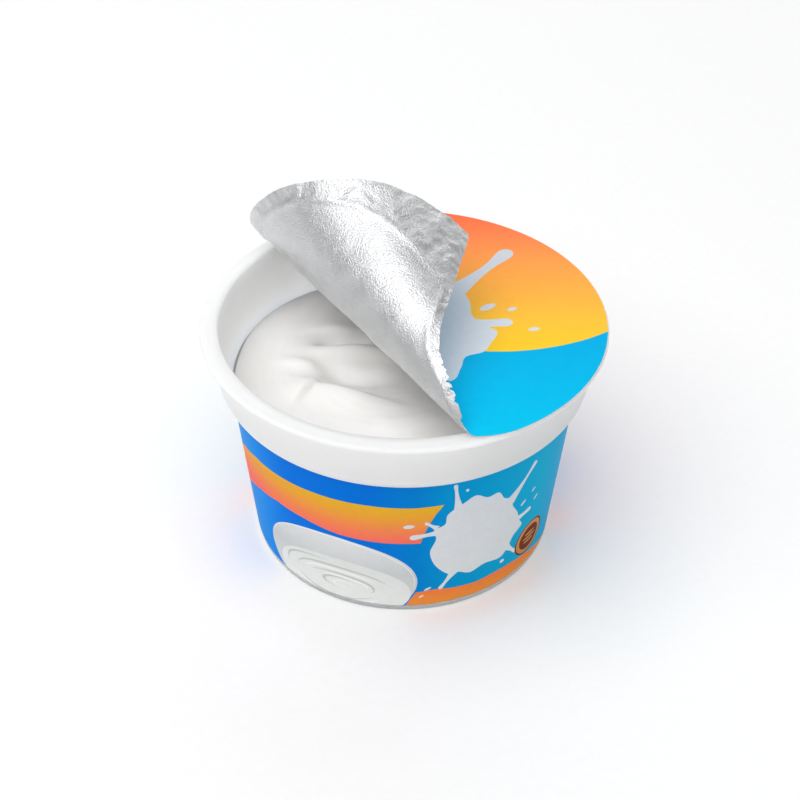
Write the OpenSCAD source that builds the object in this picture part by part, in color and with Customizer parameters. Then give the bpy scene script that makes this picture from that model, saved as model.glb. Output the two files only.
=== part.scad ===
// Single-serve yogurt pot: a round moulded cup with a wide sealing flange, a printed film
// around its wall, set yogurt inside, and a foil lid that is peeled halfway and curled back.
// Millimetres. The origin is the centre of the underside, and +Z is up.

/* [Cup] */
// Outer diameter of the sealing flange
rim_d = 86; // [70:0.5:105]
// Height from the underside to the top of the flange
pot_h = 53.3; // [44:0.1:65]
// Outer diameter at the underside
base_d = 65.8; // [54:0.1:80]
// Thickness of the lower wall
wall_t = 0.7; // [0.5:0.05:1.2]
// Thickness of the floor
floor_t = 0.8; // [0.5:0.05:1.5]
// Depth of the recess that leaves a standing ring under the floor
foot_h = 0.5; // [0.2:0.05:0.8]
// Width of the standing ring
foot_w = 5; // [3:0.5:10]

/* [Flange and collar] */
// Width of the flat sealing flange
rim_w = 4; // [3:0.1:6]
// Thickness of the flange
rim_t = 1; // [0.7:0.1:1.5]
// Overhang of the flange past the top of the collar
rim_overhang = 1.05; // [0.5:0.05:2]
// Height of the collar, from the top of the flange to its lower edge
collar_h = 9.9; // [7:0.1:12]
// How far the collar draws in from its top to its lower edge
collar_draw = 2.2; // [1:0.05:3]
// Thickness of the collar at its lower edge
collar_t = 1.4; // [0.9:0.1:2]
// Height of the rounded shoulder under the collar
shoulder_h = 4.5; // [3:0.1:6]
// Step in from the collar to the top of the wall
shoulder_step = 2.8; // [1.5:0.1:4]

/* [Film] */
// Thickness of the printed film
film_t = 0.15; // [0.1:0.05:0.3]
// Bare strip of wall below the film
film_bare = 1.8; // [1:0.1:4]

/* [Yogurt] */
// Depth of the yogurt's surface below the flange
fill_depth = 12.5; // [10:0.1:16]
// Height of the folds and spoon marks, as a multiple of the usual
swirl = 1; // [0.5:0.05:1.5]
// Clearance between the yogurt and the cup
fill_gap = 0.1; // [0.03:0.01:0.2]

/* [Foil lid] */
// Thickness of the foil
foil_t = 0.25; // [0.15:0.05:0.5]
// Setback of the foil's round edge from the edge of the flange
foil_in = 0.35; // [0:0.05:1.5]
// Reach of the pull tab past the foil's round edge
tab_reach = 18; // [8:0.5:22]
// Direction of the pull tab before the lid is peeled, in degrees
tab_turn = 225; // [215:1:235]
// Where the peel meets the flange at the front, in degrees
peel_front = -69.5; // [-75:0.5:-60]
// Where the peel meets the flange at the back, in degrees
peel_back = 126; // [118:0.5:132]
// Distance from the front end of the peel to the apex of the cone it curls into
curl_apex = 8; // [5:0.5:12]
// How far the curl's front edge is tucked under
edge_tuck = 10; // [4:0.5:12]

/* [Hidden] */

edge_round = min(0.4, rim_t / 2 - 0.05);    // rounding of the flange's edges
base_round = 0.8;                           // rounding at the foot of the wall
floor_round = 2.5;                          // rounding between the wall and the floor inside
arc_steps = 8;                              // chords in each rounded stretch of the profile

rim_r = rim_d / 2;
rim_in_r = rim_r - rim_w;
collar_top_r = rim_r - rim_overhang;
collar_low_r = collar_top_r - collar_draw;
collar_in_r = collar_low_r - collar_t;
wall_top_r = collar_low_r - shoulder_step;
in_top_r = wall_top_r - wall_t;
base_r = base_d / 2;
collar_z = pot_h - collar_h;
shoulder_z = collar_z - shoulder_h;
floor_z = foot_h + floor_t;
in_low_z = floor_z + floor_round;

// Outer radius of the straight wall at height z
function wall_r(z) = base_r + (wall_top_r - base_r) * z / shoulder_z;
in_low_r = wall_r(in_low_z) - wall_t;

// Arc that starts upright at "top" and ends lower down and further in, at "low"
function arc_turn(top, low) = 2 * atan2(top.x - low.x, top.y - low.y);
function arc_radius(top, low) = (top.y - low.y) / sin(arc_turn(top, low));
function upright_arc(top, low) = [
    for (i = [0:arc_steps])
        let (a = i / arc_steps * arc_turn(top, low))
        top - arc_radius(top, low) * [1 - cos(a), sin(a)]
];

// Round of radius r about a centre, from one angle to another
function round_arc(centre, r, from, to, steps = arc_steps) = [
    for (i = [0:steps])
        let (a = from + (to - from) * i / steps)
        centre + r * [cos(a), sin(a)]
];

function reversed(list) = [for (i = [len(list) - 1:-1:0]) list[i]];

// ---- Cup: one polypropylene moulding of even wall, with a flange that the lid seals to ----

shoulder_out = upright_arc([collar_low_r, collar_z], [wall_top_r, shoulder_z]);
shoulder_in = upright_arc([collar_in_r, collar_z], [in_top_r, shoulder_z]);

module cup_section() {
    foot_r = base_r - foot_w;
    polygon(concat(
        [[0, foot_h], [foot_r - foot_h, foot_h], [foot_r, 0]],
        round_arc([wall_r(base_round) - base_round, base_round], base_round, -90, 0),
        reversed(shoulder_out),
        [[collar_top_r, pot_h - rim_t]],
        round_arc([rim_r - edge_round, pot_h - rim_t + edge_round], edge_round, -90, 0),
        round_arc([rim_r - edge_round, pot_h - edge_round], edge_round, 0, 90),
        round_arc([rim_in_r + edge_round, pot_h - edge_round], edge_round, 90, 180),
        shoulder_in,
        round_arc([in_low_r - floor_round, in_low_z], floor_round, 0, -90),
        [[0, floor_z]]
    ));
}

module cup() {
    color("white")
        rotate_extrude($fn = 96)
            cup_section();
}

// ---- Film: the printed skin around the straight wall ----

module film_label() {
    color("dodgerblue")
        rotate_extrude($fn = 96)
            polygon([
                [wall_r(film_bare), film_bare],
                [wall_r(film_bare) + film_t, film_bare],
                [wall_top_r + film_t, shoulder_z],
                [wall_top_r, shoulder_z]
            ]);
}

// ---- Yogurt: fills the cup up to a folded, spooned surface ----

level_z = pot_h - fill_depth;
sectors = 72;
surface_rings = 22;
edge_drop = 1.1;        // how far the surface rounds down where it meets the wall
spiral_h = 0.5;         // height of the broad swirl

// Inner radius of the cup at height z
function shoulder_in_r(z) =
    let (r = arc_radius(shoulder_in[0], shoulder_in[arc_steps]))
    collar_in_r - r + sqrt(r * r - pow(collar_z - z, 2));
function cavity_r(z) =
    z >= collar_z ? collar_in_r + (rim_in_r - collar_in_r) * (z - collar_z) / collar_h :
    z >= shoulder_z ? shoulder_in_r(z) :
    wall_r(z) - wall_t;
surface_r = cavity_r(level_z);

// Folds left by filling and stirring. Place, half length and widths are shares of the surface's
// radius: x, y, half length, width on the left of its run, width on the right, turn, height.
FOLDS = [
    [-0.22, 0.13, 0.30, 0.05, 0.09, -10, 1.9],      // long crest across the middle
    [-0.36, -0.05, 0.20, 0.09, 0.07, -22, -1.9],    // basin in front of the crest
    [-0.34, -0.25, 0.26, 0.07, 0.10, -26, 1.3],     // lip in front of the basin
    [-0.60, 0.03, 0.06, 0.10, 0.10, 80, 0.8],       // end of the lip, round to the crest
    [-0.44, 0.25, 0.10, 0.03, 0.06, 12, -1.7],      // pocket behind the crest
    [-0.06, 0.24, 0.14, 0.07, 0.05, -14, -1.3],     // second pocket, nearer the lid
    [0.06, -0.08, 0.24, 0.05, 0.08, -16, -1.6],     // valley that runs under the lid
    [-0.58, -0.26, 0.14, 0.09, 0.03, 46, 1.1],      // short crease by the wall
    [-0.45, 0.55, 0.28, 0.16, 0.22, 38, 0.9],       // mound along the back wall
    [0.10, -0.52, 0.34, 0.20, 0.16, 8, 1.0]         // broad mound at the front
];

function fold_height(p, f) =
    let (
        d = p / surface_r - [f[0], f[1]],
        along = d * [cos(f[5]), sin(f[5])],
        across = d * [-sin(f[5]), cos(f[5])],
        width = across > 0 ? f[3] : f[4]
    )
    f[6] * exp(-pow(along / f[2], 2) - pow(across / width, 2));
function sum(list, i = 0) = i == len(list) ? 0 : list[i] + sum(list, i + 1);
function relief(p) =
    let (q = norm(p) / surface_r, a = atan2(p.y, p.x))
    swirl * (sum([for (f = FOLDS) fold_height(p, f)]) + spiral_h * sin(2 * a - 260 * q) * q)
    - edge_drop * pow(q, 14);

// Points of one sector: round the floor, up the wall to the edge, and in over the surface
function sector_points(a) =
    let (
        dir = [cos(a), sin(a)],
        edge_z = level_z + relief(surface_r * dir),
        step_z = edge_z > shoulder_z + fill_gap ? shoulder_z : edge_z - 0.5,
        edge_r = cavity_r(edge_z) - fill_gap
    )
    concat(
        [
            for (p = round_arc([in_low_r - floor_round, in_low_z], floor_round - fill_gap, -90, 0, 4))
                [p.x * dir.x, p.x * dir.y, p.y]
        ],
        [
            for (i = [0:3])
                let (z = step_z + (edge_z - step_z) * i / 3, r = cavity_r(z) - fill_gap)
                [r * dir.x, r * dir.y, z]
        ],
        [
            for (i = [surface_rings - 1:-1:1])
                let (q = i / surface_rings)
                [q * edge_r * dir.x, q * edge_r * dir.y, level_z + relief(q * surface_r * dir)]
        ]
    );

module yogurt() {
    rows = [for (s = [0:sectors - 1]) sector_points(360 * s / sectors)];
    per = len(rows[0]);
    points = concat(
        [for (row = rows) each row],
        [[0, 0, floor_z + fill_gap], [0, 0, level_z + relief([0, 0])]]
    );
    low = sectors * per;
    top = low + 1;
    function at(s, i) = (s % sectors) * per + i;
    faces = [
        for (s = [0:sectors - 1])
            each concat(
                [[low, at(s, 0), at(s + 1, 0)]],
                [for (i = [0:per - 2]) each [
                    [at(s, i), at(s, i + 1), at(s + 1, i + 1)],
                    [at(s, i), at(s + 1, i + 1), at(s + 1, i)]
                ]],
                [[at(s, per - 1), top, at(s + 1, per - 1)]]
            )
    ];
    color("ivory")
        polyhedron(points, faces, convexity = 6);
}

// ---- Foil lid: one sheet, sealed on the right and curled up and back over itself ----

peel_steps = 48;        // stations along the peel
curl_steps = 20;        // stations from the peel to the flap's edge
tuck_turn = 253;        // middle of the tucked edge, in degrees
tuck_half = 50;         // half its length, in degrees

// Each bend is a stretch of a cone: its half angle, and how far the sheet turns about its axis
BENDS = [[9, 82], [13.5, 103], [21, 87], [69, 360]];

foil_r = rim_r - foil_in;
tab_r = foil_r + tab_reach;
tab_half = acos(foil_r / tab_r);

// Radius of the flat sheet's edge at an angle: round, with a pointed tab between two tangents
function turned(a, from) = (a - from + 540) % 360 - 180;
function tuck(a) =
    let (t = turned(a, tuck_turn) / tuck_half)
    abs(t) < 1 ? edge_tuck * pow(cos(90 * t), 2) : 0;
function sheet_r(a) =
    let (t = abs(turned(a, tab_turn)))
    (t < tab_half ? foil_r / cos(tab_half - t) : foil_r) - tuck(a);

// The peel is a straight line over the opening, and the cone's apex lies on it
function polar(r, a) = r * [cos(a), sin(a)];
front_end = polar(foil_r, peel_front);
back_end = polar(foil_r, peel_back);
peel_len = norm(back_end - front_end);
peel_dir = (back_end - front_end) / peel_len;
peel_out = [-peel_dir.y, peel_dir.x];
apex = front_end - curl_apex * peel_dir;

function spin(axis, t, v) = v * cos(t) + cross(axis, v) * sin(t) + axis * (axis * v) * (1 - cos(t));

// Direction of a line from the apex, and the sheet's upper normal there, once it is bent up
function bent(psi, dir = [peel_dir.x, peel_dir.y, 0], up = [0, 0, 1], k = 0) =
    let (
        half = BENDS[k][0],
        span = BENDS[k][1] * sin(half),
        axis = cos(half) * dir + sin(half) * up,
        t = min(psi, span) / sin(half)
    )
    psi <= span ? [spin(axis, t, dir), spin(axis, t, up)]
    : bent(psi - span, spin(axis, t, dir), spin(axis, t, up), k + 1);

// Place in the finished lid of a point of the flat sheet, "rise" above its underside
function sheet_point(p, rise) =
    let (
        v = p - apex,
        psi = atan2(v * peel_out, v * peel_dir)
    )
    psi <= 0 ? [p.x, p.y, pot_h + rise] :
    let (b = bent(psi))
    [apex.x, apex.y, pot_h] + norm(v) * b[0] + rise * b[1];

// One station of the peel: the sealed edge, the peel itself, then on to the flap's edge
function station(i) =
    let (
        u = i / peel_steps,
        far_a = peel_back + (peel_front + 360 - peel_back) * u,
        far = polar(sheet_r(far_a), far_a),
        on_peel = front_end + max(0, min(peel_len, (far - front_end) * peel_dir)) * peel_dir,
        sealed = polar(foil_r, peel_back + (peel_front - peel_back) * u)
    )
    concat([sealed], [for (j = [0:curl_steps]) on_peel + (far - on_peel) * j / curl_steps]);

module foil_lid() {
    inner = [for (i = [1:peel_steps - 1]) station(i)];
    per = curl_steps + 2;
    side_len = len(inner) * per + 2;
    flat = concat([for (row = inner) each row], [back_end, front_end]);
    points = concat([for (p = flat) sheet_point(p, 0)], [for (p = flat) sheet_point(p, foil_t)]);
    last = len(inner) - 1;
    function at(side, i, j) =
        side * side_len + (i < 0 ? side_len - 2 : i > last ? side_len - 1 : i * per + j);
    // A quad of the sheet between two stations, or a triangle where they end in one point
    function cell(side, i, j) =
        let (q = [at(side, i, j), at(side, i, j + 1), at(side, i + 1, j + 1), at(side, i + 1, j)])
        let (tris = i < 0 ? [[q[0], q[2], q[3]]] : i == last ? [[q[0], q[1], q[2]]]
            : [[q[0], q[1], q[2]], [q[0], q[2], q[3]]])
        side == 1 ? tris : [for (t = tris) [t[2], t[1], t[0]]];
    function edge(i, j, way) =
        let (a = at(0, i, j), b = at(0, i + 1, j), c = at(1, i + 1, j), d = at(1, i, j))
        way > 0 ? [[a, b, c], [a, c, d]] : [[c, b, a], [d, c, a]];
    faces = [
        for (i = [-1:last])
            each concat(
                [for (side = [0, 1]) for (j = [0:per - 2]) each cell(side, i, j)],
                edge(i, 0, -1),
                edge(i, per - 1, 1)
            )
    ];
    color("silver")
        polyhedron(points, faces, convexity = 8);
}

cup();
film_label();
yogurt();
foil_lid();
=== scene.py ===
import math

import bpy
import numpy as np
from mathutils import Matrix, Quaternion, Vector, kdtree, noise
from mathutils.geometry import delaunay_2d_cdt


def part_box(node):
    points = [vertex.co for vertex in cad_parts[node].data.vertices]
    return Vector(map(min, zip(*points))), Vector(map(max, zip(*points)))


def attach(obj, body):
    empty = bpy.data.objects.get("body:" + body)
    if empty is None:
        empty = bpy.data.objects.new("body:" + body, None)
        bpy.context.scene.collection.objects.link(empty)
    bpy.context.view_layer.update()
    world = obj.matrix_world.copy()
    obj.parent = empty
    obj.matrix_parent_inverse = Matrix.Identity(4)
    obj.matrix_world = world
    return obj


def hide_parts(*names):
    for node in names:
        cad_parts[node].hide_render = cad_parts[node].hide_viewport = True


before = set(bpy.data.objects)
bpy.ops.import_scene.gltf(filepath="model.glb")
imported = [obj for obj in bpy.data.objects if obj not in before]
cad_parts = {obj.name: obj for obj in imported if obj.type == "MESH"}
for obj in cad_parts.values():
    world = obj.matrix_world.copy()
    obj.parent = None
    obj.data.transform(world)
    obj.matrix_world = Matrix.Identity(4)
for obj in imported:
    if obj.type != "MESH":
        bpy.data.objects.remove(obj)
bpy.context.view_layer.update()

# ---------------------------------------------------------------------------------------
# Cup. One thin polypropylene moulding, white right through, with a flat flange that the lid
# is heat-sealed to. The sealing head leaves a shallow track in the flange, and the gate of
# the mould leaves a small nub in the middle of the underside.

MM = 0.001               # every size is in millimetres until its mesh is made
cup_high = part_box("cup")[1]
rim_r = cup_high.x / MM
pot_h = cup_high.z / MM
base_r = 32.9
wall_t = 0.7
floor_t = 0.8
foot_h = 0.5
foot_w = 5.0
base_round = 0.8
floor_round = 2.5
rim_w = 4.0
rim_t = 1.0
edge_round = 0.4
rim_overhang = 1.05      # how far the flange stands out past the collar
collar_h = 9.9
collar_draw = 2.2        # how far the collar is drawn in on its way down
collar_t = 1.4
shoulder_h = 4.5
shoulder_step = 2.8      # how far the shoulder steps in to the wall
track_w = 1.5            # the sealing head's track in the flange
track_deep = 0.07
track_out = 0.2          # how far it lies outside the flange's middle
track_side = 0.2         # width of each of its sloped sides
gate_r = 1.6
gate_h = 0.3
mark_w = 0.6             # fine ring that the mould leaves in the underside
mark_deep = 0.12

rim_in_r = rim_r - rim_w
collar_top_r = rim_r - rim_overhang
collar_low_r = collar_top_r - collar_draw
collar_in_r = collar_low_r - collar_t
wall_top_r = collar_low_r - shoulder_step
collar_z = pot_h - collar_h
shoulder_z = collar_z - shoulder_h
floor_z = foot_h + floor_t


def wall_r(z):
    """Outer radius of the straight wall at height z"""
    return base_r + (wall_top_r - base_r) * z / shoulder_z


def round_arc(x, z, r, start, end, steps=10):
    """Points of a round about a centre, from one angle to another in degrees"""
    turns = [math.radians(start + (end - start) * i / steps) for i in range(steps + 1)]
    return [(x + r * math.cos(t), z + r * math.sin(t)) for t in turns]


def drawn_in(top, low, steps=16):
    """Arc that starts upright at top and ends lower down and further in"""
    turn = 2 * math.atan2(top[0] - low[0], top[1] - low[1])
    r = (top[1] - low[1]) / math.sin(turn)
    turns = [turn * i / steps for i in range(steps + 1)]
    return [(top[0] - r * (1 - math.cos(t)), top[1] - r * math.sin(t)) for t in turns]


def lathe(name, profile, segments, crisp_angle):
    """Turned mesh in metres, from (radius, height) points that start and end on the axis"""
    ring = profile[1:-1]
    verts = [(0, 0, profile[0][1] * MM)]
    for s in range(segments):
        a = math.tau * s / segments
        verts += [(r * math.cos(a) * MM, r * math.sin(a) * MM, z * MM) for r, z in ring]
    verts.append((0, 0, profile[-1][1] * MM))
    faces = []
    for s in range(segments):
        here = 1 + s * len(ring)
        there = 1 + (s + 1) % segments * len(ring)
        faces.append((0, there, here))
        for i in range(len(ring) - 1):
            faces.append((here + i, there + i, there + i + 1, here + i + 1))
        faces.append((here + len(ring) - 1, there + len(ring) - 1, len(verts) - 1))
    mesh = bpy.data.meshes.new(name)
    mesh.from_pydata(verts, [], faces)
    mesh.shade_smooth()
    mesh.set_sharp_from_angle(angle=math.radians(crisp_angle))
    return mesh


def piece(mesh, materials, node):
    """Puts in the finished piece for a CAD node, riding with the pot"""
    made = bpy.data.objects.new(mesh.name, mesh)
    bpy.context.scene.collection.objects.link(made)
    for material in materials:
        mesh.materials.append(material)
    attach(made, "root")
    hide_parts(node)


def linear(hex_code):
    """Linear colour of an sRGB hex value"""
    parts = [int(hex_code[i:i + 2], 16) / 255 for i in (0, 2, 4)]
    return (*[c / 12.92 if c <= 0.04045 else ((c + 0.055) / 1.055) ** 2.4 for c in parts], 1)


def add(tree, kind, settings=None, inputs=None):
    """Adds a node. An input's value is a number, a colour, another node's output, or a node,
    which means its first output. A setting named stops holds a ramp's (place, hex) stops."""
    made = tree.nodes.new(kind)
    for key, value in (settings or {}).items():
        if key != "stops":
            setattr(made, key, value)
            continue
        bar = made.color_ramp.elements
        while len(bar) < len(value):
            bar.new(0.5)
        for element, (place, hex_code) in zip(bar, value):
            element.position = place
            element.color = linear(hex_code)
    for key, value in (inputs or {}).items():
        if isinstance(value, bpy.types.Node):
            value = value.outputs[0]
        if isinstance(value, bpy.types.NodeSocket):
            tree.links.new(value, made.inputs[key])
        else:
            made.inputs[key].default_value = value
    return made


def blank(name):
    """A new material and its empty node tree"""
    material = bpy.data.materials.new(name)
    material.use_nodes = True
    material.node_tree.nodes.clear()
    return material, material.node_tree


# Polypropylene, injection moulded in a polished tool: clean white, a little translucent,
# with a soft gloss, faint flow marks and a fine orange peel.
peel_mm = 0.6
flow_mm = 14
polypropylene, tree = blank("polypropylene_moulded_white")
place = add(tree, "ShaderNodeTexCoord").outputs["Object"]
flow = add(tree, "ShaderNodeTexNoise", None, {"Vector": place, "Scale": 1 / (flow_mm * MM), "Detail": 3})
peel = add(tree, "ShaderNodeTexNoise", None, {"Vector": place, "Scale": 1 / (peel_mm * MM), "Detail": 2})
white = add(tree, "ShaderNodeValToRGB", {"stops": [(0.3, "F7F7F7"), (0.7, "FBFBFB")]}, {0: flow})
gloss = add(tree, "ShaderNodeMapRange", None, {0: flow, 1: 0.3, 2: 0.7, 3: 0.34, 4: 0.46})
waves = add(tree, "ShaderNodeBump", None, {"Strength": 0.35, "Distance": 0.4 * MM, "Height": flow})
skin = add(tree, "ShaderNodeBump", None,
           {"Strength": 0.25, "Distance": 0.02 * MM, "Height": peel, "Normal": waves})
body = add(tree, "ShaderNodeBsdfPrincipled", None, {
    "Base Color": white, "Roughness": gloss, "IOR": 1.49, "Normal": skin,
    "Subsurface Weight": 1.0, "Subsurface Radius": (1.0, 0.98, 0.96), "Subsurface Scale": 8 * MM})
add(tree, "ShaderNodeOutputMaterial", None, {"Surface": body})

foot_r = base_r - foot_w
mark_r = foot_r / 2
track_mid = rim_r - rim_w / 2 + track_out
track_in = track_mid - track_w / 2
track_end = track_mid + track_w / 2
in_low_z = floor_z + floor_round
in_low_r = wall_r(in_low_z) - wall_t
shoulder_out = drawn_in((collar_low_r, collar_z), (wall_top_r, shoulder_z))
shoulder_in = drawn_in((collar_in_r, collar_z), (wall_top_r - wall_t, shoulder_z))
cup_profile = [
    (0, foot_h - gate_h), (gate_r * 0.7, foot_h - gate_h), (gate_r, foot_h),
    (mark_r, foot_h), (mark_r + mark_w / 2, foot_h - mark_deep), (mark_r + mark_w, foot_h),
    (foot_r - foot_h, foot_h), (foot_r, 0),
    *round_arc(wall_r(base_round) - base_round, base_round, base_round, -90, 0),
    *reversed(shoulder_out),
    (collar_top_r, pot_h - rim_t),
    *round_arc(rim_r - edge_round, pot_h - rim_t + edge_round, edge_round, -90, 0),
    *round_arc(rim_r - edge_round, pot_h - edge_round, edge_round, 0, 90),
    (track_end, pot_h), (track_end - track_side, pot_h - track_deep),
    (track_in + track_side, pot_h - track_deep), (track_in, pot_h),
    *round_arc(rim_in_r + edge_round, pot_h - edge_round, edge_round, 90, 180),
    *shoulder_in,
    *round_arc(in_low_r - floor_round, in_low_z, floor_round, 0, -90),
    (0, floor_z),
]
cup_mesh = lathe("Cup", cup_profile, segments=256, crisp_angle=32)
piece(cup_mesh, [polypropylene], "cup")

# ---------------------------------------------------------------------------------------
# Film. A printed polypropylene film wrapped round the wall and fused to it in the mould, with
# its two ends butted on the right. Its print is flat fields: blue, an orange band, a milk
# splash, a bowl, a sweep and a badge, and it comes twice, half a turn apart.

film_t = 0.15
film_low = 1.8
film_mesh = 1.6                                 # side of the sheet's triangles
film_r = wall_r(shoulder_z / 2) + film_t        # radius that turns an angle into a width
uv_mm = 100                                     # millimetres of print in one unit of its UV map


def at(turn, z):
    """Place on the flat film of a direction round the pot, in degrees from the front"""
    return math.radians(turn) * film_r, z


def through(points, steps=8):
    """Closed smooth curve through a few points, a Catmull-Rom spline"""
    made = []
    n = len(points)
    for i in range(n):
        p0, p1, p2, p3 = (Vector(points[(i + k) % n]) for k in (-1, 0, 1, 2))
        for s in range(steps):
            t = s / steps
            made.append(0.5 * (2 * p1 + (p2 - p0) * t + (2 * p0 - 5 * p1 + 4 * p2 - p3) * t * t
                               + (3 * p1 - p0 - 3 * p2 + p3) * t ** 3))
    return [(p.x, p.y) for p in made]


def oval(x, y, half_w, half_h, turn=0, steps=48):
    """Closed ellipse, turned by some degrees"""
    c = math.cos(math.radians(turn))
    s = math.sin(math.radians(turn))
    made = []
    for i in range(steps):
        a = math.tau * i / steps
        u = half_w * math.cos(a)
        v = half_h * math.sin(a)
        made.append((x + u * c - v * s, y + u * s + v * c))
    return made


def splash_arm(root, tip, root_w, neck_w, drop_r, bow=0.0, steps=20):
    """Thrown arm of milk: wide at its root, thin at the neck, with a drawn-out drop at the tip"""
    run = Vector(tip) - Vector(root)
    ahead = run.normalized()
    side = Vector((-ahead.y, ahead.x))
    cap = drop_r * 1.2
    stem = run.length - cap
    left = []
    right = []
    for i in range(steps + 1):
        t = i / steps
        swell = math.exp(-(stem * (1 - t) / (drop_r * 2.6)) ** 2)
        half = neck_w / 2 + (root_w - neck_w) / 2 * (1 - t) ** 2.2 + (drop_r - neck_w / 2) * swell
        mid = Vector(root) + ahead * stem * t + side * bow * math.sin(math.pi * t * 0.5)
        left.append(mid + side * half)
        right.append(mid - side * half)
    head = []
    for i in range(1, 12):
        a = math.radians(-90 + 15 * i)
        head.append(mid + cap * math.cos(a) * ahead + drop_r * math.sin(a) * side)
    return [(p.x, p.y) for p in right + head + left[::-1]]


def inside(points, loop):
    """Which points lie inside a closed loop, by counting the sides a line to the right meets"""
    x, y = points[:, 0], points[:, 1]
    found = np.zeros(len(points), bool)
    for (ax, ay), (bx, by) in zip(loop, loop[1:] + loop[:1]):
        if ay != by:
            spans = (ay > y) != (by > y)
            found ^= spans & (x < ax + (bx - ax) * (y - ay) / (by - ay))
    return found


def even(line, step, closed=True):
    """The line with points added, so that no stretch is longer than step"""
    made = []
    ends = line[1:] + line[:1] if closed else line[1:]
    for (ax, ay), (bx, by) in zip(line, ends):
        parts = max(1, math.ceil(math.hypot(bx - ax, by - ay) / step))
        made += [(ax + (bx - ax) * i / parts, ay + (by - ay) * i / parts) for i in range(parts)]
    return made if closed else made + [line[-1]]


def cut_sheet(outline, fields, creases, spacing):
    """Flat triangles of a sheet with an edge along every field's outline and every crease.
    fields is a list of (slot, loops), each printed over the one before. Gives the points,
    the triangles and each triangle's slot."""
    loops = [even(outline, spacing)]
    loops += [even(loop, spacing) for _, group in fields for loop in group]
    points = []
    edges = []
    for loop in loops:
        first = len(points)
        points += loop
        edges += [(first + i, first + (i + 1) % len(loop)) for i in range(len(loop))]
    for line in creases:
        first = len(points)
        points += even(line, spacing, closed=False)
        edges += [(i, i + 1) for i in range(first, len(points) - 1)]
    near = kdtree.KDTree(len(points))
    for i, (x, y) in enumerate(points):
        near.insert((x, y, 0), i)
    near.balance()
    low = np.min(loops[0], 0)
    high = np.max(loops[0], 0)
    row_h = spacing * math.sqrt(3) / 2
    rows = int((high[1] - low[1]) / row_h) + 1
    columns = int((high[0] - low[0]) / spacing) + 1
    grid = np.array([(low[0] + (c + r % 2 / 2) * spacing, low[1] + r * row_h)
                     for r in range(rows) for c in range(columns)])
    grid = grid[inside(grid, loops[0])]
    points += [(x, y) for x, y in grid if near.find((x, y, 0))[2] > spacing * 0.55]
    same = 1e-5
    made = delaunay_2d_cdt([Vector(p) for p in points], edges, [], 0, same, False)
    flat = np.array([(p.x, p.y) for p in made[0]])
    tris = np.array([t for t in made[2]])
    a, b, c = (flat[tris[:, i]] for i in range(3))
    area = (b[:, 0] - a[:, 0]) * (c[:, 1] - a[:, 1]) - (c[:, 0] - a[:, 0]) * (b[:, 1] - a[:, 1])
    tris[area < 0] = tris[area < 0][:, ::-1]
    middle = (a + b + c) / 3
    keep = inside(middle, loops[0]) & (abs(area) > same / 100)
    slot = np.zeros(len(tris), int)
    for number, group in fields:
        for loop in group:
            slot[inside(middle, loop)] = number
    return flat, tris[keep], slot[keep]


def sheet_solid(name, cut, put, face_t, back_slot, edge_slot):
    """Closed thin solid from a cut sheet. put(x, y, rise) is where a point of the sheet goes"""
    flat, tris, slots = cut
    used = np.unique(tris)
    order = {int(v): i for i, v in enumerate(used)}
    count = len(used)
    verts = [put(*flat[v], face_t) for v in used] + [put(*flat[v], 0) for v in used]
    faces = [tuple(order[int(v)] for v in t) for t in tris]
    sides = dict.fromkeys((t[k], t[(k + 1) % 3]) for t in faces for k in range(3))
    rim = [(a, b) for a, b in sides if (b, a) not in sides]
    backs = [tuple(v + count for v in t[::-1]) for t in faces]
    walls = [(b, a, a + count, b + count) for a, b in rim]
    mesh = bpy.data.meshes.new(name)
    mesh.from_pydata([Vector(v) * MM for v in verts], [], faces + backs + walls)
    numbers = [*slots.tolist(), *[back_slot] * len(backs), *[edge_slot] * len(walls)]
    mesh.polygons.foreach_set("material_index", numbers)
    print_map = mesh.uv_layers.new(name="print")
    corner = np.zeros(len(mesh.loops), int)
    mesh.loops.foreach_get("vertex_index", corner)
    flat_used = flat[used]
    print_map.data.foreach_set("uv", (flat_used[corner % count] / uv_mm).ravel())
    mesh.shade_smooth()
    mesh.set_sharp_from_angle(angle=math.radians(60))
    return mesh


def film_point(x, z, rise):
    """Place on the pot of a point of the flat film"""
    a = x / film_r
    r = wall_r(z) + rise
    return r * math.sin(a), -r * math.cos(a), z


def print_place(tree, axis):
    """Distance across (0) or up (1) the print, in millimetres"""
    uv = add(tree, "ShaderNodeUVMap", {"uv_map": "print"})
    parts = add(tree, "ShaderNodeSeparateXYZ", None, {0: uv})
    return add(tree, "ShaderNodeMath", {"operation": "MULTIPLY"}, {0: parts.outputs[axis], 1: uv_mm})


mottle_mm = 1.6
stipple_mm = 0.35        # about 0.1 mm in truth, drawn coarser so that it shows


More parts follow.
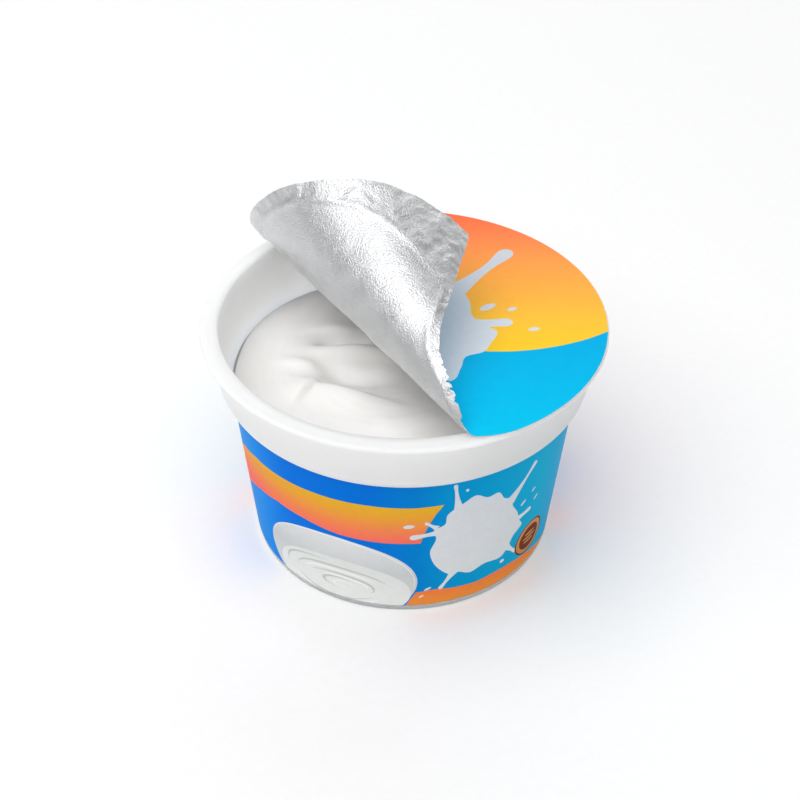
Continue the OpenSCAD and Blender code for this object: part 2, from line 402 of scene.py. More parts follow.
def film_ink(name, axis, low, high, stops):
    """Gravure ink under clear polypropylene film: a flat even colour that runs from one hue to
    the next, a smooth gloss over it, a faint mottle and the fine stipple of the fused film"""
    material, tree = blank(name)
    along = print_place(tree, axis)
    if axis == 0:                               # the artwork starts again after half a turn
        along = add(tree, "ShaderNodeMath", {"operation": "WRAP"}, {0: along, 1: high, 2: low})
    part = add(tree, "ShaderNodeMapRange", None, {0: along, 1: low, 2: high})
    colour = add(tree, "ShaderNodeValToRGB", {"stops": stops}, {0: part})
    place = add(tree, "ShaderNodeTexCoord").outputs["Object"]
    mottle = add(tree, "ShaderNodeTexNoise", None,
                 {"Vector": place, "Scale": 1 / (mottle_mm * MM), "Detail": 4})
    stipple = add(tree, "ShaderNodeTexNoise", None,
                  {"Vector": place, "Scale": 1 / (stipple_mm * MM), "Detail": 1})
    tone = add(tree, "ShaderNodeMapRange", None, {0: mottle, 1: 0.3, 2: 0.7, 3: 0.98, 4: 1.02})
    mixed = add(tree, "ShaderNodeHueSaturation", None, {"Color": colour, "Value": tone})
    gloss = add(tree, "ShaderNodeMapRange", None, {0: mottle, 1: 0.3, 2: 0.7, 3: 0.38, 4: 0.47})
    bump = add(tree, "ShaderNodeBump", None, {"Strength": 0.2, "Distance": 0.02 * MM, "Height": stipple})
    body = add(tree, "ShaderNodeBsdfPrincipled", None, {
        "Base Color": mixed, "Roughness": gloss, "IOR": 1.49,
        "Specular IOR Level": 0.02, "Normal": bump})
    add(tree, "ShaderNodeOutputMaterial", None, {"Surface": body})
    return material


wide = math.radians(1) * film_r                 # millimetres of film in one degree
blue_ink = film_ink("film_ink_blue", 0, -90 * wide, 90 * wide, [
    (0.0, "00A4E4"), (0.12, "0092F0"), (0.17, "0090F0"), (0.27, "0076E6"), (0.44, "0074DE"),
    (0.53, "0084D4"), (0.58, "0096D6"), (0.8, "00B2DC"), (1.0, "00A4E4")])
band_ink = film_ink("film_ink_band", 1, 21.5, 32.5, [
    (0.0, "FF6E66"), (0.35, "FA8A55"), (0.7, "F2A63C"), (1.0, "EDB52C")])
milk_ink = film_ink("film_ink_milk", 1, 8, 34, [(0.0, "E2E6E7"), (1.0, "DCE0E6")])
bowl_ink = film_ink("film_ink_bowl", 1, 2, 21, [(0.0, "DEE1E0"), (0.5, "D0D3D4"), (1.0, "E6E8E9")])
curd_ink = film_ink("film_ink_curd", 1, 2, 14, [(0.0, "F2F4F1"), (1.0, "E4E7E4")])
fold_ink = film_ink("film_ink_fold", 1, 2, 14, [(0.0, "CCD1CC"), (1.0, "C6CBC7")])
glint_ink = film_ink("film_ink_glint", 1, 2, 14, [(0.0, "FFFFFD"), (1.0, "FCFDFA")])
sweep_ink = film_ink("film_ink_sweep", 1, 2, 7, [(0.0, "F89A3E"), (1.0, "FF8046")])
brown_ink = film_ink("film_ink_brown", 1, 3, 16, [(0.0, "6E2E1A"), (1.0, "7E3A1E")])
tan_ink = film_ink("film_ink_tan", 1, 3, 16, [(0.0, "C98A52"), (1.0, "D39A60")])
# The film's own clear plastic, at its cut edge and on its back
film_clear = film_ink("film_clear_edge", 1, 0, 40, [(0.0, "E4E8EA"), (1.0, "EEF0F1")])

film_inks = [blue_ink, band_ink, milk_ink, bowl_ink, curd_ink, fold_ink, glint_ink, sweep_ink,
             brown_ink, tan_ink, film_clear]


def swirl_stroke(x, y, half_w, half_h, start, end, thick, steps=22):
    """Crescent along part of an ellipse, for a fold in the bowl"""
    tip_t = 0.02
    outer = []
    inner = []
    for i in range(steps + 1):
        t = i / steps
        a = math.radians(start + (end - start) * t)
        swell = thick * math.sin(math.pi * t) + tip_t
        outer.append((x + (half_w + swell) * math.cos(a), y + (half_h + swell * 0.5) * math.sin(a)))
        inner.append((x + half_w * math.cos(a), y + half_h * math.sin(a)))
    return outer + inner[::-1]


def clipped(loop, low):
    """The loop, held above a height"""
    return [(x, max(y, low)) for x, y in loop]


# The band sweeps up from the left edge of the artwork and runs level under its top
band = [at(*p) for p in [(-104, 1.9), (-97, 9), (-88, 18), (-80, 24.2), (-69.5, 29.0), (-58, 31.1),
                         (-45, 31.8), (-30, 32.4), (-12, 32.7), (4, 32.6), (13.4, 32.9)]]
band += [at(*p) for p in [(11.0, 30.4), (9.0, 27.6), (7.4, 24.8), (6.2, 21.8)]]
band += [at(*p) for p in [(-8, 21.8), (-22, 22.0), (-36, 22.9), (-48, 22.9), (-60, 21.0),
                          (-70, 18.2), (-79, 13.6), (-86, 7.8), (-90, 1.9)]]
splash_body = through([at(*p) for p in [
    (20.5, 32.4), (24.2, 33.6), (28.6, 31.9), (32.8, 32.0), (35.6, 29.4), (39.3, 28.2), (40.0, 25.6),
    (43.0, 22.4), (44.5, 19.6), (46.6, 17.2), (43.0, 15.2), (41.0, 12.4), (37.8, 10.3), (31.0, 10.8),
    (25.2, 9.6), (20.6, 10.8), (16.4, 11.0), (11.6, 14.4), (9.6, 18.6), (11.4, 22.6), (10.6, 25.4),
    (14.2, 26.9), (15.0, 29.8)]])
splash_arms = [
    splash_arm(at(18.6, 30.2), at(17.0, 38.3), 2.4, 0.55, 0.42, 0.2),
    splash_arm(at(38.2, 27.2), at(48.2, 35.6), 3.0, 0.6, 0.62, -0.3),
    splash_arm(at(42.0, 19.8), at(50.8, 20.4), 2.6, 0.9, 0.62, 0.2),
    splash_arm(at(12.0, 24.6), at(2.6, 23.3), 1.9, 0.6, 0.75, -0.2),
    splash_arm(at(11.6, 26.0), at(7.4, 28.0), 1.6, 0.5, 0.4),
    splash_arm(at(19.4, 12.2), at(13.4, 6.4), 2.8, 0.6, 0.5, 0.2),
    splash_arm(at(40.4, 12.6), at(46.0, 9.0), 2.0, 0.6, 0.5),
]
drops = [
    oval(*at(2.2, 27.0), 1.15, 0.55, 8), oval(*at(20.8, 35.9), 0.32, 0.4),
    oval(*at(45.4, 24.2), 0.9, 0.32, 38), oval(*at(50.2, 26.2), 0.7, 0.26, 40),
    oval(*at(52.6, 23.0), 0.8, 0.28, 36), oval(*at(39.2, 8.6), 0.6, 0.55),
    oval(*at(9.4, 6.9), 0.9, 0.3, 30), oval(*at(7.2, 4.6), 0.6, 0.26, 34),
]
bowl_x, bowl_y = at(-25, 8.9)
bowl_w = 30.6 * wide
bowl_h = 12.0
lip_t = 0.32
art_low = film_low + 0.02                       # lowest ink, just clear of the film's edge
bowl = clipped(oval(bowl_x, bowl_y, bowl_w, bowl_h, 2.5, 96), art_low)
lip = swirl_stroke(bowl_x, bowl_y, bowl_w - 0.55, bowl_h - 0.5, -8, 188, lip_t)
curd = clipped(oval(bowl_x + 0.8, 5.4, bowl_w * 0.885, 8.6, 1.5, 96), art_low)
folds = [
    swirl_stroke(bowl_x + 1.6, 6.4, 11.6, 4.6, 20, 175, 1.1),
    swirl_stroke(bowl_x + 1.0, 6.0, 8.0, 3.0, -20, 150, 1.0),
    swirl_stroke(bowl_x + 2.2, 6.2, 4.6, 1.6, 60, 250, 0.9),
    swirl_stroke(bowl_x + 0.6, 6.6, 13.6, 5.8, 95, 190, 0.8),
    swirl_stroke(bowl_x, 5.6, 10.2, 3.6, 190, 330, 0.8),
]
glints = [
    swirl_stroke(bowl_x + 1.3, 6.2, 9.8, 3.8, 30, 160, 0.9),
    swirl_stroke(bowl_x + 1.6, 6.1, 6.2, 2.2, 0, 140, 0.8),
    swirl_stroke(bowl_x + 0.2, 5.8, 12.2, 4.6, 200, 335, 0.8),
    swirl_stroke(bowl_x + 2.4, 6.1, 2.4, 0.8, 0, 300, 0.5),
]
sweep = [at(*p) for p in [(1.6, art_low), (5.2, 6.0), (12, 6.5), (20, 5.9), (28, 5.6), (36, 6.1),
                          (44, 6.0), (52, 5.2), (60, 4.0), (68, 2.6), (73, art_low)]]

# The badge is a plain disc of rings with three bars across it
badge_x, badge_y = at(53.5, 10.4)
badge_r = 5.0
badge_line = 0.45
badge_ring_w = 1.5
bar_step = 1.2
bar_t = 0.32
badge_out = oval(badge_x, badge_y, badge_r, badge_r)
badge_ring = oval(badge_x, badge_y, badge_r - badge_line, badge_r - badge_line)
badge_in = oval(badge_x, badge_y, badge_r - badge_ring_w, badge_r - badge_ring_w)
bar_rows = ((1, 1.8), (0, 2.4), (-1, 1.8))      # row, and half of the bar's length
badge_bars = [oval(badge_x, badge_y + row * bar_step, half, bar_t) for row, half in bar_rows]

artwork = [
    (band_ink, [band]), (sweep_ink, [sweep]), (bowl_ink, [bowl]), (glint_ink, [lip]),
    (curd_ink, [curd]), (fold_ink, folds), (glint_ink, glints),
    (milk_ink, [splash_body, *splash_arms, *drops]),
    (brown_ink, [badge_out]), (tan_ink, [badge_ring]), (brown_ink, [badge_in]), (tan_ink, badge_bars),
]
half_turn = math.pi * film_r
join_x = 105 * wide                             # where the film's ends meet, 105 degrees round
start_x = join_x - 2 * half_turn
film_fields = []
for ink, loops in artwork:
    copies = [[(x + dx, y) for x, y in loop] for loop in loops for dx in (-half_turn, 0, half_turn)]
    film_fields.append((film_inks.index(ink), copies))
film_outline = [(start_x, film_low), (join_x, film_low), (join_x, shoulder_z), (start_x, shoulder_z)]
film_cut = cut_sheet(film_outline, film_fields, [], film_mesh)
clear = film_inks.index(film_clear)
film_solid = sheet_solid("Film_label", film_cut, film_point, film_t, clear, clear)
piece(film_solid, film_inks, "film_label")

# ---------------------------------------------------------------------------------------
# Yogurt. Set yogurt that fills the cup to its shoulder and wets the wall. A spoon went through
# it once, and left a folded crest with a basin and a pocket beside it, creases, broad mounds
# and fine drag lines. It sinks a little towards the wall.

fill_depth = 12.5
into_wall = 0.04        # how far it reaches into the wall, so that no gap shows
edge_drop = 1.5         # how far it sinks at the wall
swirl_h = 0.5           # height of the slow swirl that the spoon left
swirl_turn = 260        # how far the swirl turns from the middle to the wall, in degrees
drag_h = 0.11           # height of the fine drag lines
drag_lines = 11         # broad ones from the middle to the wall, and thin ones over them
thin_lines = 25
drag_sweep = 1.9        # how far they are swept round, in radians
lump_h = 0.09           # height of the soft lumps between them
lump_per_mm = 0.22
level_z = pot_h - fill_depth

# Place, half length and widths are shares of the surface's radius: x, y, half length, width
# on the left of its run, width on the right, turn in degrees, and height in millimetres
FOLDS = [
    (-0.33, 0.13, 0.22, 0.06, 0.05, -6, 1.6),       # crest across the middle
    (-0.16, 0.12, 0.20, 0.08, 0.06, -12, 0.9),      # its run on under the lid
    (-0.37, -0.05, 0.15, 0.07, 0.09, -20, -2.6),    # basin in front of the crest
    (-0.22, -0.10, 0.13, 0.10, 0.08, -28, -1.7),    # its deeper end, nearer the lid
    (-0.34, -0.26, 0.24, 0.035, 0.13, -24, 1.7),    # lip in front of the basin
    (-0.58, 0.02, 0.05, 0.14, 0.08, 78, 1.2),       # end of the lip, round to the crest
    (-0.44, 0.21, 0.07, 0.055, 0.03, -4, -2.4),     # pocket behind the crest
    (-0.30, 0.23, 0.12, 0.04, 0.04, -8, -1.5),      # its shallow run towards the lid
    (-0.42, 0.34, 0.14, 0.09, 0.03, 0, 1.2),        # crest behind the pocket
    (-0.57, -0.24, 0.13, 0.10, 0.02, 58, 1.6),      # short crease in front of the basin
    (-0.45, 0.58, 0.26, 0.14, 0.16, 38, 0.7),       # mound along the back wall
    (0.10, -0.52, 0.34, 0.20, 0.16, 8, 1.2),        # broad mound at the front
    (-0.98, 0.04, 0.28, 0.44, 0.42, 0, -0.8),       # sunk along the left wall
]


def cavity_r(z):
    """Inner radius of the cup at height z"""
    if z >= collar_z:
        return collar_in_r + (rim_in_r - collar_in_r) * (z - collar_z) / collar_h
    if z < shoulder_z:
        return wall_r(z) - wall_t
    drop = shoulder_h
    step = collar_in_r - (wall_top_r - wall_t)
    r = (drop * drop + step * step) / (2 * step)
    return collar_in_r - r + math.sqrt(r * r - (collar_z - z) ** 2)


surface_r = cavity_r(level_z)


def relief(x, y):
    """Height of the surface above its level"""
    q = math.hypot(x, y) / surface_r
    a = math.atan2(y, x)
    total = swirl_h * math.sin(2 * a - math.radians(swirl_turn) * q) * q
    for fx, fy, half, left, right, turn, height in FOLDS:
        dx = x / surface_r - fx
        dy = y / surface_r - fy
        c = math.cos(math.radians(turn))
        s = math.sin(math.radians(turn))
        across = dy * c - dx * s
        width = left if across > 0 else right
        total += height * math.exp(-((dx * c + dy * s) / half) ** 2 - (across / width) ** 2)
    return total - edge_drop * q ** 6


def drag(x, y):
    """Fine lines that the spoon dragged, longer along its turn than across it"""
    q = math.hypot(x, y) / surface_r
    a = math.atan2(y, x) + drag_sweep * q
    calm = min(1, q * 4) * (1 - q ** 10)            # none in the middle or at the wall
    lines = noise.noise((q * drag_lines, math.cos(a) * 1.8, math.sin(a) * 1.8))
    lines += 0.5 * noise.noise((q * thin_lines + 9, math.cos(a) * 3, math.sin(a) * 3))
    lumps = noise.noise((x * lump_per_mm, y * lump_per_mm, 4.0))
    return (drag_h * lines + lump_h * lumps) * calm


def yogurt_mesh(name, sectors, rings, sides=14):
    """The filling in metres: its underside, its side up the wall, and its uneven surface"""
    verts = [(0, 0, floor_z * MM)]
    for s in range(sectors):
        a = math.tau * s / sectors
        c = math.cos(a)
        n = math.sin(a)
        edge_z = level_z + relief(surface_r * c, surface_r * n)
        edge_r = cavity_r(edge_z) + into_wall
        column = round_arc(in_low_r - floor_round, in_low_z, floor_round + into_wall, -90, 0, 5)
        for i in range(1, sides + 1):
            z = in_low_z + (edge_z - in_low_z) * i / sides
            column.append((cavity_r(z) + into_wall, z))
        verts += [(r * c * MM, r * n * MM, z * MM) for r, z in column]
        for i in range(rings - 1, 0, -1):
            q = i / rings
            x = q * surface_r * c
            y = q * surface_r * n
            z = level_z + relief(x, y) + drag(x, y)
            verts.append((q * edge_r * c * MM, q * edge_r * n * MM, z * MM))
    per = (len(verts) - 1) // sectors
    verts.append((0, 0, (level_z + relief(0, 0)) * MM))
    faces = []
    for s in range(sectors):
        here = 1 + s * per
        there = 1 + (s + 1) % sectors * per
        faces.append((0, there, here))
        faces += [(here + i, there + i, there + i + 1, here + i + 1) for i in range(per - 1)]
        faces.append((here + per - 1, there + per - 1, len(verts) - 1))
    mesh = bpy.data.meshes.new(name)
    mesh.from_pydata(verts, [], faces)
    mesh.shade_smooth()
    mesh.set_sharp_from_angle(angle=math.radians(50))
    return mesh


# Set yogurt, spooned: warm off-white, dense but translucent at thin edges, with a wet, broken
# gloss from its fine curd.
curd_mm = 0.5
whey_mm = 7
curd_gel, tree = blank("yogurt_set_spooned")
place = add(tree, "ShaderNodeTexCoord").outputs["Object"]
whey = add(tree, "ShaderNodeTexNoise", None, {"Vector": place, "Scale": 1 / (whey_mm * MM), "Detail": 3})
grain = add(tree, "ShaderNodeTexNoise", None, {"Vector": place, "Scale": 1 / (curd_mm * MM), "Detail": 3})
cream = add(tree, "ShaderNodeValToRGB", {"stops": [(0.3, "FAF6F2"), (0.7, "FDFAF7")]}, {0: whey})
gloss = add(tree, "ShaderNodeMapRange", None, {0: whey, 1: 0.3, 2: 0.7, 3: 0.3, 4: 0.5})
bump = add(tree, "ShaderNodeBump", None, {"Strength": 0.3, "Distance": 0.05 * MM, "Height": grain})
body = add(tree, "ShaderNodeBsdfPrincipled", None, {
    "Base Color": cream, "Roughness": gloss, "IOR": 1.36, "Normal": bump,
    "Subsurface Weight": 0.7, "Subsurface Radius": (1.0, 0.92, 0.85), "Subsurface Scale": 1.5 * MM})
add(tree, "ShaderNodeOutputMaterial", None, {"Surface": body})
piece(yogurt_mesh("Yogurt_fill", sectors=264, rings=110), [curd_gel], "yogurt")

# ---------------------------------------------------------------------------------------
# Foil lid. Soft embossed aluminium, printed on top, lacquered below and heat-sealed on the
# right. The left half is peeled into a curl of conical bends, with the seal's groove and a
# crumpled band round its edge, a torn stretch near the front and a tab with a bent corner.

lid_t = 0.12
lid_mesh = 0.62         # side of the sheet's triangles
foil_in = 0.35          # how far the foil stops short of the flange's edge
tab_reach = 18.0        # how far the pull tab goes past the round edge
tab_turn = 225.0        # directions are in degrees round the pot, from the right
peel_front = -69.5      # the front and back ends of the line where the seal still holds
peel_back = 126.0
curl_apex = 8.0         # how far the cones' apex lies past the front end
edge_tuck = 10.0        # how far the edge is folded in beside the tab
tuck_turn = 253.0
tuck_half = 50.0
tear_turn = 274         # where the edge is torn back, and how deep
tear_half = 16
tear_deep = 1.3
BENDS = [(9, 82), (13.5, 103), (21, 87), (69, 360)]     # half angle of each cone, and its turn

seal_share = 0.906      # the seal's groove, as a share of the flange's radius
seal_in = 2.4           # the least that it stays in from the edge
seal_deep = 0.34
seal_half = 0.7
corner_h = 1.7          # how far the tab's corner is bent
corner_reach = 9
peel_blend = 4          # the peeled part's relief comes in over this much
band_blend = 1.2        # the crumpled band's comes in over this much past the groove
strain_in = 2.5         # middle of the strained strip of the sealed part, beside the peel
strain_half = 3.5
waves_per_mm = 0.075
dents_per_mm = 0.24
fine_per_mm = 0.62

# Height of each kind of relief, in the crumpled band, over the peeled part and on the sealed one
BAND = {"pleats": 0.16, "dents": 0.34, "fine": 0.16}
PEELED = {"waves": 0.42, "dents": 0.08, "fine": 0.04}
SEALED = {"dome": 0.10, "waves": 0.10, "dents": 0.05, "fine": 0.12}

foil_r = rim_r - foil_in
tab_half = math.degrees(math.acos(foil_r / (foil_r + tab_reach)))


def polar(r, turn):
    """Point of the flat sheet at a radius and a direction in degrees"""
    return Vector((r * math.cos(math.radians(turn)), r * math.sin(math.radians(turn)), 0))


def sheet_r(turn):
    """Radius of the flat foil's edge: round, with a tab between two tangents, and tucked"""
    off_tab = abs((turn - tab_turn + 540) % 360 - 180)
    off_tuck = abs((turn - tuck_turn + 540) % 360 - 180) / tuck_half
    r = foil_r / math.cos(math.radians(tab_half - off_tab)) if off_tab < tab_half else foil_r
    return r - (edge_tuck * math.cos(math.pi / 2 * off_tuck) ** 2 if off_tuck < 1 else 0)


def torn(turn):
    """How far the edge is torn back in one direction, near the front end of the peel"""
    near = max(0, 1 - ((turn - tear_turn) / tear_half) ** 2)
    ragged = noise.noise((turn * 0.62, 0.5, 2.0)) + 0.5 * noise.noise((turn * 1.7, 3.5, 1.0))
    return tear_deep * near * max(0, ragged + 0.25)


front_end = polar(foil_r, peel_front)
back_end = polar(foil_r, peel_back)
peel_len = (back_end - front_end).length
peel_dir = (back_end - front_end) / peel_len
peel_out = Vector((-peel_dir.y, peel_dir.x, 0))
apex = front_end - curl_apex * peel_dir
tab_corner = polar(foil_r + tab_reach, tab_turn)
dome_r = rim_in_r - 0.6


def bent(psi):
    """Direction of a line from the apex, and the sheet's normal there, once it is bent up"""
    ahead = peel_dir.copy()
    up = Vector((0, 0, 1))
    for half, span in BENDS:
        half = math.radians(half)
        reach = math.radians(span) * math.sin(half)
        axis = math.cos(half) * ahead + math.sin(half) * up
        turn = Quaternion(axis, min(psi, reach) / math.sin(half))
        ahead = turn @ ahead
        up = turn @ up
        if psi <= reach:
            break
        psi -= reach
    return ahead, up


def crumple(x, y):
    """How far the sheet stands off its smooth form, towards its printed side"""
    r = math.hypot(x, y)
    turn = math.degrees(math.atan2(y, x)) % 360
    edge = sheet_r(turn)
    spot = Vector((x, y, 0))
    free = (spot - apex).dot(peel_out)              # distance past the peel
    waves = noise.noise(spot * waves_per_mm + Vector((3, 1, 0)))
    dents = noise.noise(spot * dents_per_mm + Vector((9, 4, 2)))
    fine = noise.noise(spot * fine_per_mm + Vector((2, 8, 3)))
    if free > 0:
        seal_r = min(seal_share * rim_r, edge - seal_in)
        pleats = noise.noise((turn * 0.42, r * 0.16, 1.0))
        pleats += 0.6 * noise.noise((turn * 0.95, r * 0.3, 5.0))
        creased = BAND["pleats"] * pleats + BAND["dents"] * dents + BAND["fine"] * fine
        off = creased * min(1, max(0, (r - seal_r) / band_blend))
        off -= seal_deep * math.exp(-((r - seal_r) / seal_half) ** 2)
        off += PEELED["waves"] * waves + PEELED["dents"] * dents + PEELED["fine"] * fine
        corner = corner_h * math.exp(-((spot - tab_corner).length / corner_reach) ** 2)
        return min(1, free / peel_blend) * off - corner
    strain = math.exp(-((free + strain_in) / strain_half) ** 2)
    off = SEALED["dome"] + SEALED["waves"] * waves + SEALED["dents"] * dents
    off += SEALED["fine"] * strain * fine
    return off * max(0, 1 - (r / dome_r) ** 6)


def lid_point(x, y, rise):
    """Place in the finished lid of a point of the flat sheet, above its coated side"""
    v = Vector((x, y, 0)) - apex
    psi = math.atan2(v.dot(peel_out), v.dot(peel_dir))
    rise += crumple(x, y)
    if psi <= 0:
        return Vector((x, y, pot_h + rise))
    ahead, up = bent(psi)
    return Vector((apex.x, apex.y, pot_h)) + v.length * ahead + rise * up


emboss_mm = 0.36         # about 0.25 mm in truth, drawn coarser so that it shows
crinkle_mm = 2.2


def foil_skin(tree, place, depth):
    """Bump of the rolled, embossed sheet: a fine pebble, over soft handling creases"""
    pebble = add(tree, "ShaderNodeTexNoise", None,
                 {"Vector": place, "Scale": 1 / (emboss_mm * MM), "Detail": 2, "Roughness": 0.6})
    crinkle = add(tree, "ShaderNodeTexNoise", {"noise_type": "RIDGED_MULTIFRACTAL"},
                  {"Vector": place, "Scale": 1 / (crinkle_mm * MM), "Detail": 3})
    soft = add(tree, "ShaderNodeBump", None, {"Strength": depth, "Distance": 0.06 * MM, "Height": crinkle})
    return add(tree, "ShaderNodeBump", None,
               {"Strength": depth, "Distance": 0.2 * MM, "Height": pebble, "Normal": soft})


def lid_ink(name, low, high, stops):
    """Gravure ink and matt varnish on embossed foil: saturated, even colour with a low sheen"""
    material, tree = blank(name)
    part = add(tree, "ShaderNodeMapRange", None, {0: print_place(tree, 1), 1: low, 2: high})
    colour = add(tree, "ShaderNodeValToRGB", {"stops": stops}, {0: part})
    place = add(tree, "ShaderNodeTexCoord").outputs["Object"]
    mottle = add(tree, "ShaderNodeTexNoise", None,
                 {"Vector": place, "Scale": 1 / (mottle_mm * MM), "Detail": 4})
    tone = add(tree, "ShaderNodeMapRange", None, {0: mottle, 1: 0.3, 2: 0.7, 3: 0.98, 4: 1.02})
    mixed = add(tree, "ShaderNodeHueSaturation", None, {"Color": colour, "Value": tone})
    gloss = add(tree, "ShaderNodeMapRange", None, {0: mottle, 1: 0.3, 2: 0.7, 3: 0.42, 4: 0.52})
    skin = foil_skin(tree, place, 0.12)
    body = add(tree, "ShaderNodeBsdfPrincipled", None, {
        "Base Color": mixed, "Roughness": gloss, "IOR": 1.48,
        "Specular IOR Level": 0.02, "Normal": skin})
    add(tree, "ShaderNodeOutputMaterial", None, {"Surface": body})
    return material


lid_blue = lid_ink("lid_ink_blue", -42, 0, [(0.0, "00C3EA"), (0.4, "00B9E8"), (1.0, "00A8E0")])
lid_orange = lid_ink("lid_ink_orange", -11, 40, [
    (0.0, "FBCB2C"), (0.2, "FDC33C"), (0.42, "FFB148"),
    (0.65, "FF9F50"), (0.85, "FD8650"), (1.0, "F8744A")])
lid_milk = lid_ink("lid_ink_milk", -22, 14, [(0.0, "DCE2E6"), (1.0, "CDD2DA")])

# Aluminium, cold rolled and embossed, with a thin clear seal lacquer: a bright metal that
# breaks its reflections into grain, hazier where the lacquer is thicker.
haze_mm = 5
aluminium, tree = blank("aluminium_foil_embossed")
place = add(tree, "ShaderNodeTexCoord").outputs["Object"]
haze = add(tree, "ShaderNodeTexNoise", None, {"Vector": place, "Scale": 1 / (haze_mm * MM), "Detail": 4})
metal = add(tree, "ShaderNodeValToRGB", {"stops": [(0.3, "D2D3D4"), (0.7, "DEDFE0")]}, {0: haze})
gloss = add(tree, "ShaderNodeMapRange", None, {0: haze, 1: 0.3, 2: 0.7, 3: 0.27, 4: 0.36})
skin = foil_skin(tree, place, 1.0)
body = add(tree, "ShaderNodeBsdfPrincipled", None, {
    "Base Color": metal, "Metallic": 1.0, "Roughness": gloss, "Normal": skin})
add(tree, "ShaderNodeOutputMaterial", None, {"Surface": body})

# Aluminium, die cut: the bare bright edge of the sheet, with the die's fine nicks.
nick_mm = 0.3
cut_edge, tree = blank("aluminium_foil_cut_edge")
place = add(tree, "ShaderNodeTexCoord").outputs["Object"]
nick = add(tree, "ShaderNodeTexNoise", None, {"Vector": place, "Scale": 1 / (nick_mm * MM), "Detail": 2})
metal = add(tree, "ShaderNodeValToRGB", {"stops": [(0.3, "DDDEDF"), (0.7, "F0F0F0")]}, {0: nick})
body = add(tree, "ShaderNodeBsdfPrincipled", None, {"Base Color": metal, "Metallic": 1.0, "Roughness": 0.4})
add(tree, "ShaderNodeOutputMaterial", None, {"Surface": body})

turns = [a / 3 for a in range(1080)]
lid_outline = [tuple(polar(sheet_r(turn) - torn(turn), turn).xy) for turn in turns]
orange_disc = oval(19, 29, 40.4, 40.4, 0, 160)
lid_body = through([
    (12.6, 9.6), (14.0, 5.6), (14.2, 1.4), (16.4, -1.8), (19.4, -4.6), (17.8, -8.8),
    (16.2, -11.6), (12.6, -13.4), (11.6, -17.0), (9.6, -21.4), (4.0, -19.6), (-1.6, -22.4),
    (-8.4, -20.0), (-13.0, -21.6), (-16.2, -16.4), (-20.4, -12.8), (-18.0, -6.4), (-20.6, 0.2),
    (-16.4, 5.2), (-16.8, 10.6), (-10.6, 12.0), (-5.8, 16.2), (0.4, 13.4), (5.6, 15.4), (9.4, 12.2)])
lid_arms = [
    splash_arm((9.6, 8.8), (22.6, 27.0), 6.0, 1.5, 1.75, -1.0),
    splash_arm((12.4, -2.0), (22.8, -1.3), 5.0, 1.7, 1.4, 0.2),
    splash_arm((-2.0, 12.0), (-7.0, 26.0), 5.4, 1.3, 1.5, 0.8),
    splash_arm((-16.0, 2.0), (-28.0, 7.4), 5.0, 1.4, 1.5, -0.6),
    splash_arm((-12.0, -16.0), (-21.0, -25.0), 5.0, 1.4, 1.4, 0.5),
]
lid_drops = [
    oval(17.7, 4.3, 2.0, 0.9, 35), oval(22.8, 3.7, 1.1, 0.6, 30), oval(27.1, -3.5, 1.2, 0.65, 12),
    oval(-24.0, 14.0, 1.5, 0.8, 150), oval(-13.0, 22.0, 1.1, 0.7, 120), oval(-26.0, -16.0, 1.4, 0.8, 40),
]
lid_finishes = [lid_blue, lid_orange, lid_milk, aluminium, cut_edge]
lid_fields = [(lid_finishes.index(lid_orange), [orange_disc]),
              (lid_finishes.index(lid_milk), [lid_body, *lid_arms, *lid_drops])]
peel_line = [tuple(front_end.xy), tuple(back_end.xy)]
lid_cut = cut_sheet(lid_outline, lid_fields, [peel_line], lid_mesh)
lid_solid = sheet_solid("Foil_lid", lid_cut, lid_point, lid_t,
                        lid_finishes.index(aluminium), lid_finishes.index(cut_edge))
piece(lid_solid, lid_finishes, "foil_lid")

# ---------------------------------------------------------------------------------------
# Studio. A plain white paper floor, one large soft light overhead to the left, a long low one
# and a small high one behind, and a weak panel on the right. The camera looks down on the pot
# from the front.

floor_half = 3.0
aim_at = (0, 0, 0.04)                           # middle of the pot, in metres
floor_mesh = bpy.data.meshes.new("Studio_floor")
corners = [(-floor_half, -floor_half, 0), (floor_half, -floor_half, 0),
           (floor_half, floor_half, 0), (-floor_half, floor_half, 0)]
floor_mesh.from_pydata(corners, [], [(0, 1, 2, 3)])
studio_floor = bpy.data.objects.new("Studio_floor", floor_mesh)
bpy.context.scene.collection.objects.link(studio_floor)

# Paper, uncoated: an even matt white with the faintest cloud of fibres.
fibre_mm = 2             # about 0.5 mm in truth, drawn coarser so that it shows
paper, tree = blank("paper_matt_white")
place = add(tree, "ShaderNodeTexCoord").outputs["Object"]
fibre = add(tree, "ShaderNodeTexNoise", None, {"Vector": place, "Scale": 1 / (fibre_mm * MM), "Detail": 2})
cloud = add(tree, "ShaderNodeValToRGB", {"stops": [(0.0, "F6F6F6"), (1.0, "FAFAFA")]}, {0: fibre})
body = add(tree, "ShaderNodeBsdfDiffuse", None, {"Color": cloud})
add(tree, "ShaderNodeOutputMaterial", None, {"Surface": body})
floor_mesh.materials.append(paper)


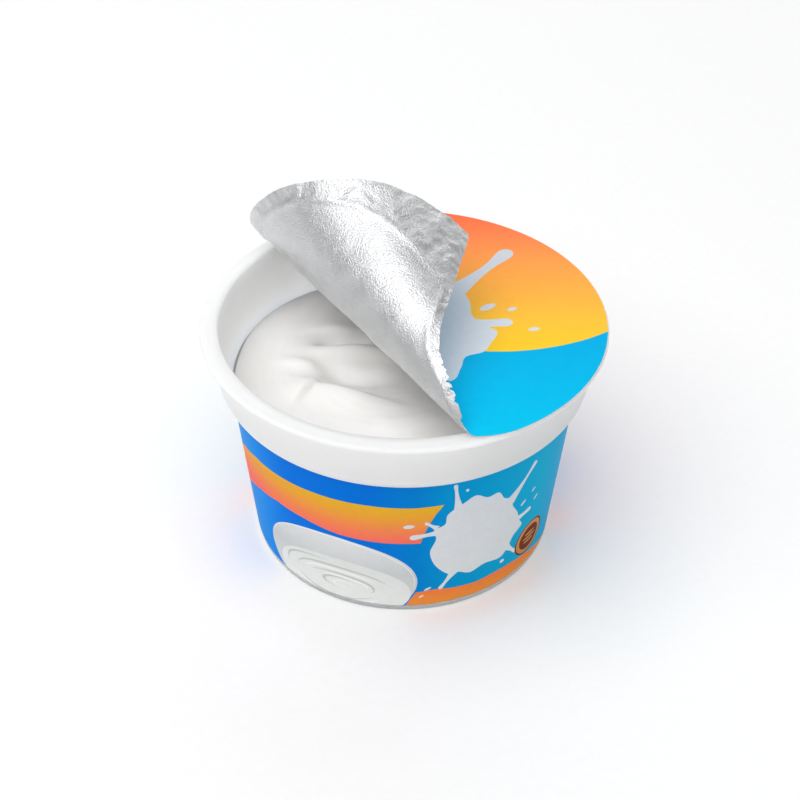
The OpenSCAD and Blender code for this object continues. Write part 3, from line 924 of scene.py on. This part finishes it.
def soft_light(name, where, width, height, power):
    """Rectangular softbox turned to the pot, in metres and watts"""
    lamp = bpy.data.lights.new(name, "AREA")
    lamp.shape = "RECTANGLE"
    lamp.size = width
    lamp.size_y = height
    lamp.energy = power
    made = bpy.data.objects.new(name, lamp)
    made.location = where
    made.rotation_euler = (Vector(aim_at) - Vector(where)).to_track_quat("-Z", "Y").to_euler()
    bpy.context.scene.collection.objects.link(made)


soft_light("Overhead_light", (-0.32, -0.36, 1.1), 1.5, 1.4, 13.2)
soft_light("Back_light", (0.1, 0.8, 1.05), 1.5, 0.6, 1.8)
soft_light("Low_back_light", (0.1, 1.3, 0.4), 1.8, 0.6, 5.6)
soft_light("Right_panel", (0.9, -0.9, 0.8), 1.0, 0.8, 0.8)

world = bpy.data.worlds.new("Studio_air")
world.use_nodes = True
air = world.node_tree.nodes["Background"]
air.inputs["Color"].default_value = linear("FDFEFF")
air.inputs["Strength"].default_value = 0.36
bpy.context.scene.world = world

eye_lift = math.radians(35.65)                  # height of the eye over the flange's middle
eye_away = 8.067 * rim_r * MM                   # its distance from there
turn_side = math.radians(-0.15)
turn_down = math.radians(38.47)
roll = math.radians(0.47)
lens_mm = 74.16
look = Vector((math.sin(turn_side) * math.cos(turn_down), math.cos(turn_side) * math.cos(turn_down),
               -math.sin(turn_down)))
across = Vector((math.cos(turn_side), -math.sin(turn_side), 0))
above = across.cross(look)
right = math.cos(roll) * across + math.sin(roll) * above
upward = math.cos(roll) * above - math.sin(roll) * across
eye = Vector((0, -eye_away * math.cos(eye_lift), pot_h * MM + eye_away * math.sin(eye_lift)))
camera_data = bpy.data.cameras.new("Camera")
camera_data.lens = lens_mm
camera_data.sensor_width = 36
camera_data.clip_start = 0.01
camera = bpy.data.objects.new("Camera", camera_data)
camera.matrix_world = Matrix.Translation(eye) @ Matrix((right, upward, -look)).transposed().to_4x4()
bpy.context.scene.collection.objects.link(camera)
bpy.context.scene.camera = camera
bpy.context.scene.view_settings.view_transform = "Standard"
